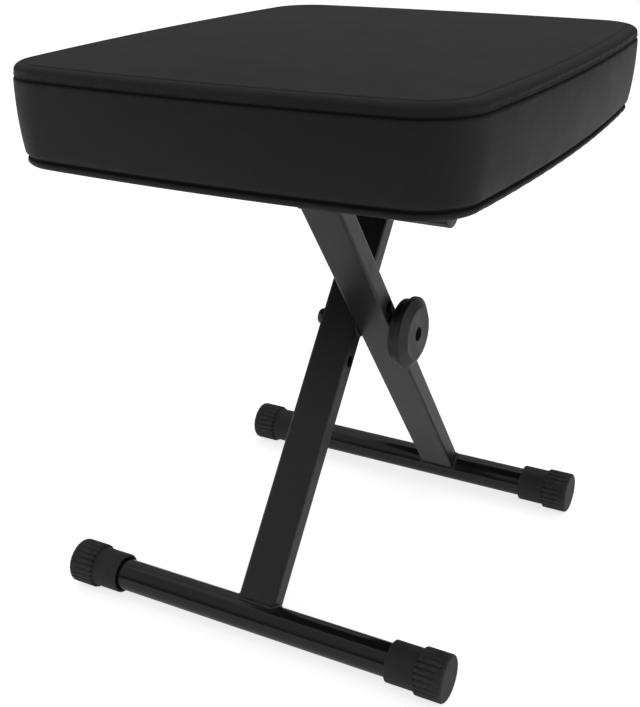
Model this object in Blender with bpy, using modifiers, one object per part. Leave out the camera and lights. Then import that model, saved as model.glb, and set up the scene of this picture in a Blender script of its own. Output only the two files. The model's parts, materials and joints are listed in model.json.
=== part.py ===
"""Folding X-frame piano bench with a padded seat, in metres, +Z up.

Origin: on the floor, under the middle of the seat. +X runs along the foot tubes, +Y from
the front foot to the rear foot. Two single legs cross at a bolt. The front frame
has its foot in front and its seat tube behind, the rear frame the other way round. The
seat turns on the front frame's seat tube and rests on the rear frame's seat tube, which
slides forward out of two open saddles as the bench folds.
"""

from math import cos, pi, radians, sin

import bmesh
import bpy
from mathutils import Matrix, Vector

# Clearances
GAP = 0.0003  # between pieces that touch

# The middle of the foot tubes, from the middle of the seat
FRAME_X = -0.0095
FRAME_Y = -0.0100

# Legs: one rectangular tube in each frame, crossing at the pivot bolt
LEG_BELOW_PIVOT = 0.2744  # pivot axis to foot tube axis
LEG_ABOVE_PIVOT = 0.1893  # pivot axis to seat tube axis
LEG_ANGLE = radians(37.1)  # each leg from upright, as set up
LEG_WIDTH = 0.036  # along X
LEG_DEPTH = 0.018  # across the leg, in the plane that it swings in
LEG_WALL = 0.0015
LEG_CORNER = 0.0026
FRONT_LEG_OFFSET = 0.0049  # middle of the front frame's leg from the middle of the foot tubes
LEG_SPACING = 0.0014  # between the two legs' side faces
PIVOT_HOLE_PITCH = 0.0365  # from one height hole to the next
PIVOT_HOLE_COUNT_EACH_WAY = 1  # spare holes above and below the pivot

# Foot tubes and their caps
FOOT_TUBE_RADIUS = 0.0143
FOOT_TUBE_WALL = 0.0015
FOOT_HALF_LENGTH = 0.1853  # to the end face of a cap
CAP_END_WALL = 0.003
CAP_COLLAR_WALL = 0.00325
CAP_COLLAR_LENGTH = 0.0255
CAP_GRIP_RISE = 0.00235  # the ribbed grip stands this far outside the collar
CAP_GRIP_LENGTH = 0.0252
CAP_SOLE_DEPTH = 0.0006  # the flat that stands on the floor is cut this deep into the grip
CAP_RIBS = 24
CAP_GROOVE_RADIUS = 0.0014
CAP_EDGE = 0.0018

# Seat tubes and their plugs
SEAT_TUBE_RADIUS = 0.0127
SEAT_TUBE_WALL = 0.0015
SEAT_TUBE_HALF_LENGTH = 0.153  # to the end face of a plug
PLUG_HEAD_LENGTH = 0.0022
PLUG_SPIGOT_LENGTH = 0.012

# Pivot bolt, washers and clamping knob
BOLT_RADIUS = 0.005
BOLT_HEAD_RADIUS = 0.0078
BOLT_HEAD_HEIGHT = 0.0052
WASHER_RADIUS = 0.0125
KNOB_WASHER_THICKNESS = 0.0015
KNOB_HUB_RADIUS = 0.0295
KNOB_HUB_LENGTH = 0.0078
KNOB_RIM_RADIUS = 0.0326
KNOB_RIM_LENGTH = 0.0042
KNOB_FACE_RADIUS = 0.0235
KNOB_LENGTH = 0.0172  # back of the hub to the front face
KNOB_RECESS_MARGIN = 0.0012  # the recess in the face is this much wider than the bolt, in radius
KNOB_RECESS_DEPTH = 0.0071
KNOB_EDGE = 0.00105
BOLT_END_RISE = 0.0015  # the bolt's end stands this far up in the recess
NUT_ACROSS_FLATS = 0.016
NUT_LENGTH = 0.008

# Seat: a padded cover over foam on a plywood board
SEAT_HALF_X = 0.1982  # at the middle of the sides
SEAT_HALF_Y = 0.2381
SEAT_BOW_X = 0.0126  # the long sides bow out by this between the corners
SEAT_BOW_Y = 0.0086  # and the short sides by this
SEAT_CORNER_RADIUS = 0.042
SEAT_CORNER_LEAST = 0.008  # outlines far inside the seat keep this corner radius
SEAT_BAND_HEIGHT = 0.0604  # lower seam to upper seam
SEAT_LIP_HEIGHT = 0.0066  # underside of the cover to the lower seam
SEAT_SHOULDER_RISE = 0.0099  # upper seam to the edge of the flat top
SEAT_CROWN = 0.0035
COVER_THICKNESS = 0.002
COVER_TURN_UNDER = 0.030  # how far the cover wraps in under the board
LOWER_SEAM_INSET = 0.005
BOARD_THICKNESS = 0.012
BOARD_INSET = 0.0092
DUST_COVER_THICKNESS = 0.0008
CROWN_INSET = 0.0794  # edge of the flat middle of the top, from the side of the seat

# Saddles under the board
SADDLE_X = 0.108  # middle of each saddle from the frames' middle plane
SADDLE_WIDTH = 0.024
SADDLE_WALL = 0.005
SADDLE_FLANGE_HALF_LENGTH = 0.035
SADDLE_FLANGE_THICKNESS = 0.005
SADDLE_FLANGE_DRAFT = 0.0004  # the flange thins by this towards its ends
SADDLE_REST_PAD = 0.0022  # the tube's bearing pad stands this far below the flange
SADDLE_SCREW_OFFSET = 0.0265  # screw from the tube axis, along Y
SCREW_SHANK_RADIUS = 0.002
SCREW_HEAD_RADIUS = 0.004
SCREW_TIP_RADIUS = 0.0008
SCREW_HEAD_HEIGHT = 0.0022
SCREW_BITE = 0.0088  # how far a screw goes into the board
SCREW_HOLE_SPARE = 0.0012  # the board's hole runs this far past the screw

KNOB_STEPS = 40
ROUND_STEPS = 32
TURNED_STEPS = 24
SMALL_STEPS = 16
SADDLE_STEPS = 12
CORNER_STEPS = 7
SIDE_STEPS = 6  # along each bowed side, an even number
DOME_STEPS = 5
OVERSHOOT = 0.004  # how far a cutter runs past what it cuts

# Sizes that follow from others
CAP_COLLAR_RADIUS = FOOT_TUBE_RADIUS + GAP + CAP_COLLAR_WALL
CAP_GRIP_RADIUS = CAP_COLLAR_RADIUS + CAP_GRIP_RISE
BOLT_HOLE_RADIUS = BOLT_RADIUS + GAP
KNOB_RECESS_RADIUS = BOLT_RADIUS + KNOB_RECESS_MARGIN
SCREW_LENGTH = SADDLE_FLANGE_THICKNESS + DUST_COVER_THICKNESS + 2 * GAP + SCREW_BITE

# Places that follow from the sizes
FOOT_SPREAD = LEG_BELOW_PIVOT * sin(LEG_ANGLE)  # each foot tube from the pivot, along Y
FOOT_Z = CAP_GRIP_RADIUS - CAP_SOLE_DEPTH
PIVOT_Z = FOOT_Z + LEG_BELOW_PIVOT * cos(LEG_ANGLE)
SEAT_TUBE_SPREAD = LEG_ABOVE_PIVOT * sin(LEG_ANGLE)
SEAT_TUBE_Z = PIVOT_Z + LEG_ABOVE_PIVOT * cos(LEG_ANGLE)
FRONT_LEG_X = FRAME_X + FRONT_LEG_OFFSET
REAR_LEG_X = FRONT_LEG_X + LEG_WIDTH + LEG_SPACING
BOLT_HEAD_X = FRONT_LEG_X - LEG_WIDTH / 2 - GAP
KNOB_WASHER_X = REAR_LEG_X + LEG_WIDTH / 2 + GAP
KNOB_X = KNOB_WASHER_X + KNOB_WASHER_THICKNESS + GAP
FLANGE_BASE_Z = SEAT_TUBE_Z + SEAT_TUBE_RADIUS + GAP + SADDLE_REST_PAD
FLANGE_TOP_Z = FLANGE_BASE_Z + SADDLE_FLANGE_THICKNESS
DUST_COVER_Z = FLANGE_TOP_Z + GAP
BOARD_Z = DUST_COVER_Z + DUST_COVER_THICKNESS + GAP
COVER_BASE_Z = BOARD_Z - GAP - COVER_THICKNESS
LOWER_SEAM_Z = COVER_BASE_Z + SEAT_LIP_HEIGHT
UPPER_SEAM_Z = LOWER_SEAM_Z + SEAT_BAND_HEIGHT
SHOULDER_Z = UPPER_SEAM_Z + SEAT_SHOULDER_RISE
ALONG_X = Matrix.Rotation(pi / 2, 4, "Y")  # turns a shape made along +Z to lie along +X


def clear_scene():
    for old in list(bpy.data.objects):
        bpy.data.objects.remove(old)


def new_collection(name):
    collection = bpy.data.collections.new(name)
    bpy.context.scene.collection.children.link(collection)
    return collection


def new_material(name, colour, roughness, metallic):
    material = bpy.data.materials.new(name)
    material.use_nodes = True
    shader = material.node_tree.nodes["Principled BSDF"]
    shader.inputs["Base Color"].default_value = (*colour, 1.0)
    shader.inputs["Roughness"].default_value = roughness
    shader.inputs["Metallic"].default_value = metallic
    return material


def finish_mesh(bm, name, collection, sharp_angle=radians(35)):
    """A new object from the bmesh, shaded smooth but for its sharp edges."""
    mesh = bpy.data.meshes.new(name)
    bm.to_mesh(mesh)
    bm.free()
    mesh.shade_smooth()
    mesh.set_sharp_from_angle(angle=sharp_angle)
    obj = bpy.data.objects.new(name, mesh)
    collection.objects.link(obj)
    return obj


def box(name, collection, size, middle, corner=0.0, corner_steps=2):
    """A box with, if asked, its four upright edges rounded."""
    bm = bmesh.new()
    bmesh.ops.create_cube(bm, size=1.0)
    bmesh.ops.scale(bm, vec=size, verts=bm.verts)
    if corner:
        upright = [e for e in bm.edges if e.verts[0].co.xy == e.verts[1].co.xy]
        bmesh.ops.bevel(
            bm, geom=upright, offset=corner, segments=corner_steps, profile=0.5, affect="EDGES"
        )
    bmesh.ops.translate(bm, vec=middle, verts=bm.verts)
    return finish_mesh(bm, name, collection)


def cylinder(name, collection, radius, start, end, steps=ROUND_STEPS, along=ALONG_X):
    """A solid cylinder from start to end on its own axis."""
    bm = bmesh.new()
    length = end - start
    bmesh.ops.create_cone(
        bm, cap_ends=True, segments=steps, radius1=radius, radius2=radius, depth=length
    )
    bmesh.ops.translate(bm, vec=(0, 0, start + length / 2), verts=bm.verts)
    bmesh.ops.transform(bm, matrix=along, verts=bm.verts)
    return finish_mesh(bm, name, collection)


def turned(name, collection, profile, steps=ROUND_STEPS):
    """A profile of (radius, height) points, top to bottom, turned about Z and laid along X."""
    mesh = bpy.data.meshes.new(name)
    edges = [(i, i + 1) for i in range(len(profile) - 1)]
    mesh.from_pydata([(radius, 0, height) for radius, height in profile], edges, [])
    obj = bpy.data.objects.new(name, mesh)
    collection.objects.link(obj)
    screw = obj.modifiers.new("turn", "SCREW")
    screw.steps = steps
    screw.render_steps = steps
    screw.use_merge_vertices = True
    screw.merge_threshold = 1e-6
    screw.use_smooth_shade = True
    obj.rotation_euler = (0, pi / 2, 0)
    return obj


def cut(obj, cutter):
    modifier = obj.modifiers.new(cutter.name, "BOOLEAN")
    modifier.operation = "DIFFERENCE"
    modifier.solver = "EXACT"
    modifier.object = cutter
    cutter.hide_render = True
    cutter.display_type = "WIRE"


def arc(centre, radius, first, last, steps):
    """Points (u, v) on a circle between two angles, both ends included."""
    turn = (last - first) / steps
    return [
        (centre[0] + radius * cos(first + turn * i), centre[1] + radius * sin(first + turn * i))
        for i in range(steps + 1)
    ]


def rounded_outline(half_x, half_y, radius):
    """A rectangle with round corners, anticlockwise from above, with points along its sides."""
    points = []
    for turn, (side_x, side_y) in enumerate(((1, 1), (-1, 1), (-1, -1), (1, -1))):
        middle = (side_x * (half_x - radius), side_y * (half_y - radius))
        corner = arc(middle, radius, turn * pi / 2, (turn + 1) * pi / 2, CORNER_STEPS)
        x, y = corner[-1]
        run_x, run_y = (0, -2 * y) if turn % 2 else (-2 * x, 0)
        steps = [step / SIDE_STEPS for step in range(1, SIDE_STEPS)]
        points += corner + [(x + run_x * step, y + run_y * step) for step in steps]
    return points


def seat_outline(inset):
    """The seat's outline drawn in by inset, about the seat's centre, with its sides bowed."""
    radius = max(SEAT_CORNER_RADIUS - inset, SEAT_CORNER_LEAST)
    return [
        (
            x * (1 - SEAT_BOW_X / SEAT_HALF_X * (y / SEAT_HALF_Y) ** 2),
            y * (1 - SEAT_BOW_Y / SEAT_HALF_Y * (x / SEAT_HALF_X) ** 2),
        )
        for x, y in rounded_outline(SEAT_HALF_X - inset, SEAT_HALF_Y - inset, radius)
    ]


def loft(name, collection, sections, close_start):
    """A skin through seat outlines, each an (inset, height), closed at its last section."""
    bm = bmesh.new()
    rings = [[bm.verts.new((x, y, z)) for x, y in seat_outline(inset)] for inset, z in sections]
    count = len(rings[0])
    for lower, upper in zip(rings, rings[1:]):
        for i in range(count):
            j = (i + 1) % count
            bm.faces.new((lower[i], lower[j], upper[j], upper[i]))
    bm.faces.new(rings[-1])
    if close_start:
        bm.faces.new(rings[0][::-1])
    bmesh.ops.recalc_face_normals(bm, faces=bm.faces)
    return finish_mesh(bm, name, collection)


def plate(name, collection, outline, bottom, thickness):
    """A flat plate of the outline, from a filled 2D curve, made a mesh."""
    curve = bpy.data.curves.new(name, "CURVE")
    curve.dimensions = "2D"
    curve.fill_mode = "BOTH"
    curve.extrude = thickness / 2
    spline = curve.splines.new("POLY")
    spline.points.add(len(outline) - 1)
    for point, (u, v) in zip(spline.points, outline):
        point.co = (u, v, 0, 1)
    spline.use_cyclic_u = True
    flat = bpy.data.objects.new(name + "_curve", curve)
    flat.location = (0, 0, bottom + thickness / 2)
    collection.objects.link(flat)
    bpy.context.view_layer.update()
    graph = bpy.context.evaluated_depsgraph_get()
    mesh = bpy.data.meshes.new_from_object(flat.evaluated_get(graph))
    mesh.transform(flat.matrix_world)
    bpy.data.objects.remove(flat)
    bm = bmesh.new()
    bm.from_mesh(mesh)
    bmesh.ops.remove_doubles(bm, verts=bm.verts, dist=1e-5)
    bmesh.ops.recalc_face_normals(bm, faces=bm.faces)
    bpy.data.meshes.remove(mesh)
    return finish_mesh(bm, name, collection)


def tube(name, radius, wall, half_length):
    """A round tube along X, open at both ends."""
    outer = cylinder(name, parts, radius, -half_length, half_length)
    bore = cylinder(
        name + "_bore", cutters, radius - wall, -half_length - OVERSHOOT, half_length + OVERSHOOT
    )
    cut(outer, bore)
    return outer, bore


def place(pieces, x, y, z, tilt=0.0):
    """Puts pieces made about the origin where they belong, tilted about X."""
    matrix = Matrix.Translation((x, y, z)) @ Matrix.Rotation(tilt, 4, "X")
    for piece in pieces:
        piece.matrix_world = matrix @ piece.matrix_basis


def make_leg(name, middle_x, tilt):
    """A rectangular tube with its ends hollowed to fit the two round tubes, and its row of holes."""
    length = LEG_BELOW_PIVOT + LEG_ABOVE_PIVOT
    middle = (0, 0, (LEG_ABOVE_PIVOT - LEG_BELOW_PIVOT) / 2)
    leg = box(name, parts, (LEG_WIDTH, LEG_DEPTH, length), middle, LEG_CORNER)
    hollow_size = (LEG_WIDTH - 2 * LEG_WALL, LEG_DEPTH - 2 * LEG_WALL, length + 2 * OVERSHOOT)
    hollow = box(name + "_hollow", cutters, hollow_size, middle, LEG_CORNER - LEG_WALL, 1)
    reach = LEG_WIDTH / 2 + OVERSHOOT
    foot_cut = cylinder(name + "_foot_cut", cutters, FOOT_TUBE_RADIUS + GAP, -reach, reach)
    foot_cut.location.z = -LEG_BELOW_PIVOT
    seat_cut = cylinder(name + "_seat_cut", cutters, SEAT_TUBE_RADIUS + GAP, -reach, reach)
    seat_cut.location.z = LEG_ABOVE_PIVOT
    pieces = [leg, hollow, foot_cut, seat_cut]
    for step in range(-PIVOT_HOLE_COUNT_EACH_WAY, PIVOT_HOLE_COUNT_EACH_WAY + 1):
        hole = cylinder(f"{name}_hole_{step}", cutters, BOLT_HOLE_RADIUS, -reach, reach, SMALL_STEPS)
        hole.location.z = step * PIVOT_HOLE_PITCH
        pieces.append(hole)
    for cutter in pieces[1:]:
        cut(leg, cutter)
    bpy.context.view_layer.update()
    place(pieces, middle_x, FRAME_Y, PIVOT_Z, tilt)
    return leg


def make_foot_tube(name, y):
    half_length = FOOT_HALF_LENGTH - CAP_END_WALL - GAP
    pieces = tube(name, FOOT_TUBE_RADIUS, FOOT_TUBE_WALL, half_length)
    bpy.context.view_layer.update()
    place(pieces, FRAME_X, y, FOOT_Z)
    return pieces[0]


def make_seat_tube(name, y):
    half_length = SEAT_TUBE_HALF_LENGTH - PLUG_HEAD_LENGTH - GAP
    pieces = tube(name, SEAT_TUBE_RADIUS, SEAT_TUBE_WALL, half_length)
    bpy.context.view_layer.update()
    place(pieces, FRAME_X, y, SEAT_TUBE_Z)
    return pieces[0]


def groove_cutters(name, grip_start, grip_end):
    """Square rods set round the grip, as one cutter, whose grooves leave the ribs between them."""
    bm = bmesh.new()
    for i in range(CAP_RIBS):
        angle = (i + 0.5) * 2 * pi / CAP_RIBS
        made = bmesh.ops.create_cone(
            bm,
            cap_ends=True,
            segments=4,
            radius1=CAP_GROOVE_RADIUS,
            radius2=CAP_GROOVE_RADIUS,
            depth=grip_end - grip_start,
        )
        offset = (CAP_GRIP_RADIUS * cos(angle), CAP_GRIP_RADIUS * sin(angle), (grip_start + grip_end) / 2)
        bmesh.ops.translate(bm, vec=offset, verts=made["verts"])
    bmesh.ops.transform(bm, matrix=ALONG_X, verts=bm.verts)
    return finish_mesh(bm, name, cutters)


def make_foot_cap(name, side, y):
    """A ribbed end cap with a smooth collar, a blind bore for the tube and a flat sole."""
    mouth = FOOT_HALF_LENGTH - CAP_GRIP_LENGTH - CAP_COLLAR_LENGTH
    grip_start = FOOT_HALF_LENGTH - CAP_GRIP_LENGTH
    end = FOOT_HALF_LENGTH
    bore_radius = FOOT_TUBE_RADIUS + GAP
    bore_end = end - CAP_END_WALL
    lead_in = CAP_EDGE / 2
    profile = [
        (0, end),
        (CAP_GRIP_RADIUS - CAP_EDGE, end),
        (CAP_GRIP_RADIUS, end - CAP_EDGE),
        (CAP_GRIP_RADIUS, grip_start + CAP_EDGE / 2),
        (CAP_GRIP_RADIUS - CAP_EDGE / 2, grip_start),
        (CAP_COLLAR_RADIUS, grip_start),
        (CAP_COLLAR_RADIUS, mouth + CAP_EDGE / 2),
        (CAP_COLLAR_RADIUS - CAP_EDGE / 2, mouth),
        (bore_radius + lead_in, mouth),
        (bore_radius, mouth + lead_in),
        (bore_radius, bore_end),
        (0, bore_end),
    ]
    cap = turned(name, parts, profile, CAP_RIBS)
    grooves = groove_cutters(name + "_grooves", grip_start + CAP_EDGE, end - 1.5 * CAP_EDGE)
    sole_size = (CAP_GRIP_LENGTH * 2, CAP_GRIP_RADIUS * 2, CAP_GRIP_RADIUS)
    sole_middle = (end - CAP_GRIP_LENGTH / 2, 0, -FOOT_Z - CAP_GRIP_RADIUS / 2)
    sole = box(name + "_sole_cut", cutters, sole_size, sole_middle)
    cut(cap, grooves)
    cut(cap, sole)
    pieces = [cap, grooves, sole]
    bpy.context.view_layer.update()
    turn = Matrix.Rotation(0 if side > 0 else pi, 4, "Z")
    for piece in pieces:
        piece.matrix_world = Matrix.Translation((FRAME_X, y, FOOT_Z)) @ turn @ piece.matrix_basis
    return cap


def make_plug(name, side, y):
    """A plastic plug: a head over the tube's end and a spigot inside it."""
    end = SEAT_TUBE_HALF_LENGTH
    seat = end - PLUG_HEAD_LENGTH
    spigot_radius = SEAT_TUBE_RADIUS - SEAT_TUBE_WALL - GAP
    edge = PLUG_HEAD_LENGTH / 3
    profile = [
        (0, end),
        (SEAT_TUBE_RADIUS - edge, end),
        (SEAT_TUBE_RADIUS, end - edge),
        (SEAT_TUBE_RADIUS, seat),
        (spigot_radius, seat),
        (spigot_radius, seat - PLUG_SPIGOT_LENGTH),
        (0, seat - PLUG_SPIGOT_LENGTH),
    ]
    plug = turned(name, parts, profile, TURNED_STEPS)
    bpy.context.view_layer.update()
    turn = Matrix.Rotation(0 if side > 0 else pi, 4, "Z")
    plug.matrix_world = Matrix.Translation((FRAME_X, y, SEAT_TUBE_Z)) @ turn @ plug.matrix_basis
    return plug


def make_bolt():
    """A button-headed bolt through both legs, ending inside the knob's recess."""
    head = BOLT_HEAD_X
    end = KNOB_X + KNOB_LENGTH - KNOB_RECESS_DEPTH + BOLT_END_RISE
    chamfer = BOLT_RADIUS / 5
    profile = [
        (0, end),
        (BOLT_RADIUS - chamfer, end),
        (BOLT_RADIUS, end - chamfer),
        (BOLT_RADIUS, head),
    ]
    dome = arc((0, 0), 1.0, 0, -pi / 2, DOME_STEPS)
    profile += [(BOLT_HEAD_RADIUS * u, head + BOLT_HEAD_HEIGHT * v) for u, v in dome]
    bolt = turned("pivot_bolt", parts, profile, TURNED_STEPS)
    bolt.location = (0, FRAME_Y, PIVOT_Z)
    return bolt


def make_washer(name, start, thickness):
    """A flat washer on the bolt, from start along X."""
    profile = [
        (BOLT_HOLE_RADIUS, start + thickness),
        (WASHER_RADIUS, start + thickness),
        (WASHER_RADIUS, start),
        (BOLT_HOLE_RADIUS, start),
        (BOLT_HOLE_RADIUS, start + thickness),
    ]
    washer = turned(name, parts, profile, TURNED_STEPS)
    washer.location = (0, FRAME_Y, PIVOT_Z)
    return washer


def make_knob():
    """A round plastic knob: a hub, a wider rim and a dished front, with a hex pocket at the back."""
    front = KNOB_X + KNOB_LENGTH
    rim_back = KNOB_X + KNOB_HUB_LENGTH
    rim_front = rim_back + KNOB_RIM_LENGTH
    edge = KNOB_EDGE
    recess_floor = front - KNOB_RECESS_DEPTH
    profile = [
        (BOLT_HOLE_RADIUS, recess_floor),
        (KNOB_RECESS_RADIUS, recess_floor),
        (KNOB_RECESS_RADIUS, front),
        (KNOB_FACE_RADIUS, front),
        (KNOB_RIM_RADIUS - edge, rim_front),
        (KNOB_RIM_RADIUS, rim_front - edge),
        (KNOB_RIM_RADIUS, rim_back + edge),
        (KNOB_RIM_RADIUS - edge, rim_back),
        (KNOB_HUB_RADIUS, rim_back),
        (KNOB_HUB_RADIUS, KNOB_X + edge),
        (KNOB_HUB_RADIUS - edge, KNOB_X),
        (BOLT_HOLE_RADIUS, KNOB_X),
        (BOLT_HOLE_RADIUS, recess_floor),
    ]
    knob = turned("clamp_knob", parts, profile, KNOB_STEPS)
    across_corners = NUT_ACROSS_FLATS / cos(pi / 6)
    pocket = cylinder(
        "clamp_knob_pocket",
        cutters,
        across_corners / 2 + GAP,
        KNOB_X - OVERSHOOT,
        KNOB_X + NUT_LENGTH + GAP,
        6,
    )
    cut(knob, pocket)
    nut = cylinder("knob_nut", parts, across_corners / 2, KNOB_X, KNOB_X + NUT_LENGTH, 6)
    thread = cylinder(
        "knob_nut_thread",
        cutters,
        BOLT_HOLE_RADIUS,
        KNOB_X - OVERSHOOT,
        KNOB_X + NUT_LENGTH + OVERSHOOT,
        SMALL_STEPS,
    )
    cut(nut, thread)
    for piece in (knob, pocket, nut, thread):
        piece.location = (0, FRAME_Y, PIVOT_Z)
    return knob, nut


def cover_sections():
    """The cover's outside, from its turned-under edge round to the crowned top."""
    base = COVER_BASE_Z
    edge = SEAT_LIP_HEIGHT / 3
    top = SHOULDER_Z + SEAT_CROWN
    return [
        (COVER_TURN_UNDER, base),
        (LOWER_SEAM_INSET + edge, base),
        (LOWER_SEAM_INSET, base + edge),
        (LOWER_SEAM_INSET, LOWER_SEAM_Z),
        (LOWER_SEAM_INSET / 4, LOWER_SEAM_Z + SEAT_BAND_HEIGHT / 3),
        (0, LOWER_SEAM_Z + 2 * SEAT_BAND_HEIGHT / 3),
        (0, UPPER_SEAM_Z),
        (SEAT_SHOULDER_RISE / 3, UPPER_SEAM_Z + 2 * SEAT_SHOULDER_RISE / 3),
        (SEAT_SHOULDER_RISE, SHOULDER_Z),
        ((SEAT_SHOULDER_RISE + CROWN_INSET) / 2, top - SEAT_CROWN / 4),
        (CROWN_INSET, top),
    ]


def make_cover():
    cover = loft("seat_cover", parts, cover_sections(), close_start=False)
    wall = cover.modifiers.new("thickness", "SOLIDIFY")
    wall.thickness = COVER_THICKNESS
    wall.offset = -1
    wall.use_even_offset = True
    wall.use_rim = True
    return cover


def make_foam():
    """The foam block, which fills the cover above the board."""
    inside = COVER_THICKNESS + 2 * GAP
    bottom = BOARD_Z + BOARD_THICKNESS + GAP
    sections = [(LOWER_SEAM_INSET + inside, bottom)]
    for inset, height in cover_sections():
        if height > bottom:
            drop = inside if height > UPPER_SEAM_Z else 0
            sections.append((inset + inside, height - drop))
    return loft("seat_foam", parts, sections, close_start=True)


def saddle_places():
    """Each saddle's name end, its tube's y and its x."""
    return [
        (kind + "_saddle_" + side, y, x)
        for kind, y in (("pivot", FRAME_Y + SEAT_TUBE_SPREAD), ("rest", FRAME_Y - SEAT_TUBE_SPREAD))
        for side, x in (("left", FRAME_X - SADDLE_X), ("right", FRAME_X + SADDLE_X))
    ]


def screw_places():
    return [
        (x, y + offset)
        for _, y, x in saddle_places()
        for offset in (-SADDLE_SCREW_OFFSET, SADDLE_SCREW_OFFSET)
    ]


def bore_for_screws(obj, start, end):
    """Upright holes through a plate for all the saddle screws."""
    radius = SCREW_SHANK_RADIUS + GAP
    for index, (x, y) in enumerate(screw_places()):
        name = f"{obj.name}_screw_hole_{index}"
        hole = cylinder(name, cutters, radius, start, end, SMALL_STEPS, Matrix())
        hole.location = (x, y, 0)
        cut(obj, hole)


def make_board():
    board = plate("seat_board", parts, seat_outline(BOARD_INSET), BOARD_Z, BOARD_THICKNESS)
    bore_for_screws(board, BOARD_Z - OVERSHOOT, BOARD_Z + SCREW_BITE + SCREW_HOLE_SPARE)
    return board


def make_dust_cover():
    outline = seat_outline(COVER_TURN_UNDER + 2 * GAP)
    sheet = plate("dust_cover", parts, outline, DUST_COVER_Z, DUST_COVER_THICKNESS)
    top = DUST_COVER_Z + DUST_COVER_THICKNESS
    bore_for_screws(sheet, DUST_COVER_Z - OVERSHOOT, top + OVERSHOOT)
    return sheet


def saddle_outline(closed):
    """A saddle's side view about the tube axis, as (y, z): a flange over a block or a cradle."""
    flange = SADDLE_FLANGE_HALF_LENGTH
    top = FLANGE_TOP_Z - SEAT_TUBE_Z
    base = FLANGE_BASE_Z - SEAT_TUBE_Z
    bore = SEAT_TUBE_RADIUS + GAP
    outer = bore + SADDLE_WALL
    thin = base + SADDLE_FLANGE_DRAFT
    points = [(flange, thin), (flange, top), (-flange, top), (-flange, thin), (-outer, base)]
    if closed:
        points += arc((0, 0), outer, pi, 2 * pi, SADDLE_STEPS)
        points += [(outer, base)]
    else:
        points += [(-outer, 0), (-bore, 0)]
        points += arc((0, 0), bore, pi, pi / 2, SADDLE_STEPS // 2)[1:]
        points += [(bore, bore), (bore, base)]
    return points


def make_saddle(name, y, x):
    """A moulded saddle screwed under the board. A pivot saddle goes all round its tube; a rest
    saddle is open towards the middle of the bench, so that its tube can slide out that way."""
    closed = name.startswith("pivot")
    saddle = plate(name, parts, saddle_outline(closed), -SADDLE_WIDTH / 2, SADDLE_WIDTH)
    # The outline was drawn as (y, z) in the XY plane, so X goes to Y, Y to Z and Z to X.
    cycle = Matrix(((0, 0, 1, 0), (1, 0, 0, 0), (0, 1, 0, 0), (0, 0, 0, 1)))
    saddle.data.transform(cycle)
    saddle.location = (x, y, SEAT_TUBE_Z)
    if closed:
        reach = SADDLE_WIDTH / 2 + OVERSHOOT
        bore = cylinder(name + "_bore", cutters, SEAT_TUBE_RADIUS + GAP, -reach, reach)
        bore.location = saddle.location
        cut(saddle, bore)
    for number, offset in enumerate((-SADDLE_SCREW_OFFSET, SADDLE_SCREW_OFFSET)):
        seat = screw_shape(f"{name}_screw_seat_{number}", cutters, GAP, OVERSHOOT)
        seat.location = (x, y + offset, FLANGE_BASE_Z)
        cut(saddle, seat)
    return saddle


def screw_shape(name, collection, grow, extra):
    """A countersunk screw pointing up from its head's face, grown by a clearance for its seat."""
    head = SCREW_HEAD_RADIUS + grow
    shank = SCREW_SHANK_RADIUS + grow
    tip = SCREW_LENGTH + extra
    profile = [
        (0, tip),
        (SCREW_TIP_RADIUS + grow, tip),
        (shank, tip - SCREW_SHANK_RADIUS),
        (shank, SCREW_HEAD_HEIGHT + grow),
        (head, grow),
        (head, -extra),
        (0, -extra),
    ]
    screw = turned(name, collection, profile, SMALL_STEPS)
    screw.rotation_euler = (0, 0, 0)
    return screw


def make_screws():
    screws = []
    for index, (x, y) in enumerate(screw_places()):
        screw = screw_shape(f"saddle_screw_{index + 1}", parts, 0.0, 0.0)
        screw.location = (x, y, FLANGE_BASE_Z + GAP)
        screws.append(screw)
    return screws


def finish(pieces, material, axis):
    """Gives the pieces their material and hangs them on their joint's empty."""
    for piece in pieces:
        own = material.copy()
        own.name = piece.name
        piece.data.materials.append(own)
        piece.parent = axis
        piece.matrix_parent_inverse = Matrix.Translation(-axis.location)


def new_axis(name, location):
    axis = bpy.data.objects.new(name, None)
    axis.location = Vector(location)
    parts.objects.link(axis)
    return axis


def make_frame(name, side_y, middle_x, axis):
    """One leg with its foot tube and caps and its seat tube and plugs."""
    foot_y = FRAME_Y + side_y * FOOT_SPREAD
    seat_tube_y = FRAME_Y - side_y * SEAT_TUBE_SPREAD
    # Turning about +X by a positive angle carries the top of a leg towards -Y.
    leg = make_leg(name + "_leg", middle_x, side_y * LEG_ANGLE)
    foot = make_foot_tube(name + "_foot_tube", foot_y)
    seat_tube = make_seat_tube(name + "_seat_tube", seat_tube_y)
    finish([leg], satin_black, axis)
    finish([foot, seat_tube], gloss_black, axis)
    for side_name, side in (("left", -1), ("right", 1)):
        cap = make_foot_cap(f"{name}_foot_cap_{side_name}", side, foot_y)
        plug = make_plug(f"{name}_seat_tube_plug_{side_name}", side, seat_tube_y)
        finish([cap, plug], black_rubber, axis)


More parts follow.
